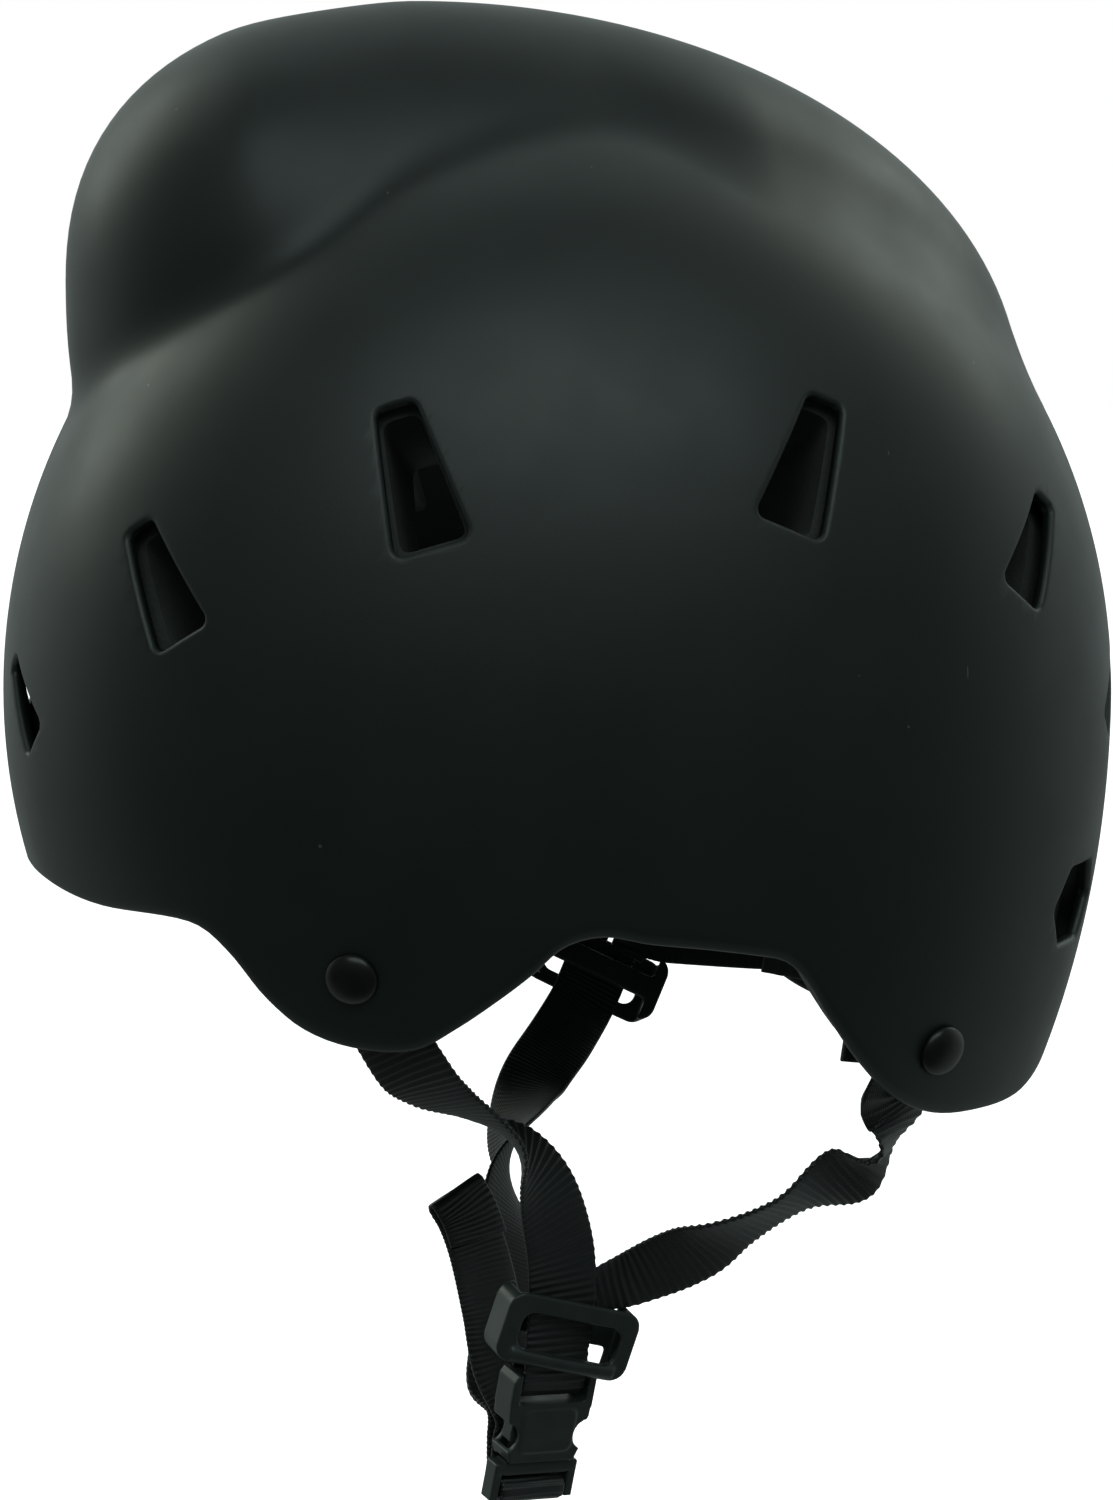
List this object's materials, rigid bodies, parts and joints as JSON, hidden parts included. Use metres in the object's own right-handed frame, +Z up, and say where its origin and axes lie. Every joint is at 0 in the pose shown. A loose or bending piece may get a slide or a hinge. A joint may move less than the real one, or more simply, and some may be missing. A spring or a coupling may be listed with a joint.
{
  "type": "water sports helmet",
  "caption": "Hard-shell water sports helmet with a raised crown, side vents, foam liner, webbing harness, strap sliders, side-release chin buckle and nape dial.",
  "frame": {"origin": "middle of the flat underside of the crown pad, where the wearer's head carries the helmet", "axes": "+Z up out of the crown, +X towards the wearer's left, the wearer faces -Y"},
  "size_m": [0.2238, 0.2879, 0.385],
  "materials": {
    "shell": "matte soft-touch ABS",
    "foam": null,
    "padding": "brushed knit over foam",
    "webbing": "ribbed polyester webbing",
    "buckle": "satin acetal",
    "rivets": "black satin"
  },
  "bodies": {
    "helmet": {"outer_shell": "shell", "foam_liner": "foam", "crown_pad": "padding", "front_pad": "padding", "rear_pad": "padding", "left_side_pad": "padding", "right_side_pad": "padding", "left_front_rivet": "rivets", "left_rear_rivet": "rivets", "right_front_rivet": "rivets", "right_rear_rivet": "rivets", "left_front_washer": "rivets", "left_rear_washer": "rivets", "right_front_washer": "rivets", "right_rear_washer": "rivets", "left_front_strap": "webbing", "left_rear_strap": "webbing", "right_front_strap": "webbing", "right_rear_strap": "webbing", "chin_strap": "webbing", "buckle_body": "buckle", "dial_housing": "buckle"},
    "left_slider_body": {"left_slider": "buckle"},
    "right_slider_body": {"right_slider": "buckle"},
    "plug": {"buckle_plug": "buckle"},
    "prong_front": {"plug_prong_front": "buckle"},
    "prong_rear": {"plug_prong_rear": "buckle"},
    "dial": {"dial_knob": "buckle"},
    "band_left": {"left_band": "buckle"},
    "band_right": {"right_band": "buckle"}
  },
  "joints": [
    {"name": "buckle_release", "type": "slide", "parent": "helmet", "child": "plug", "axis": [-0.1301, -0.1601, -0.9785], "range_m": [0, 0.02], "deforming": ["chin_strap"]},
    {"name": "prong_front_squeeze", "type": "hinge", "parent": "plug", "child": "prong_front", "pos_m": [0.0447, -0.01671, -0.26268], "axis": [-0.8987, -0.3978, 0.1845], "range_deg": [0, 8], "stiffness_Nm_per_rad": 0.08},
    {"name": "prong_rear_squeeze", "type": "hinge", "parent": "plug", "child": "prong_rear", "pos_m": [0.03951, -0.0055, -0.26382], "axis": [0.8987, 0.3978, -0.1845], "range_deg": [0, 8], "stiffness_Nm_per_rad": 0.08},
    {"name": "left_slider_adjust", "type": "slide", "parent": "helmet", "child": "left_slider_body", "axis": [0.0539, 0.3052, 0.9508], "range_m": [-0.002, 0.008], "deforming": ["left_front_strap", "left_rear_strap"]},
    {"name": "right_slider_adjust", "type": "slide", "parent": "helmet", "child": "right_slider_body", "axis": [-0.3315, 0.4219, 0.8438], "range_m": [-0.008, 0.008], "deforming": ["right_front_strap", "right_rear_strap", "chin_strap"]},
    {"name": "dial_turn", "type": "hinge", "parent": "helmet", "child": "dial", "pos_m": [0, 0.1, -0.162], "axis": [0, 1, 0], "range_deg": [0, 270]},
    {"name": "left_band_draw", "type": "slide", "parent": "helmet", "child": "band_left", "axis": [-1, 0, 0], "range_m": [0, 0.006]},
    {"name": "right_band_draw", "type": "slide", "parent": "helmet", "child": "band_right", "axis": [1, 0, 0], "range_m": [0, 0.006]}
  ],
  "couplings": [
    {"joint": "prong_rear_squeeze", "follows": "prong_front_squeeze", "ratio": 1},
    {"joint": "left_band_draw", "follows": "dial_turn", "m_per_rad": 0.00125},
    {"joint": "right_band_draw", "follows": "dial_turn", "m_per_rad": 0.00125}
  ]
}
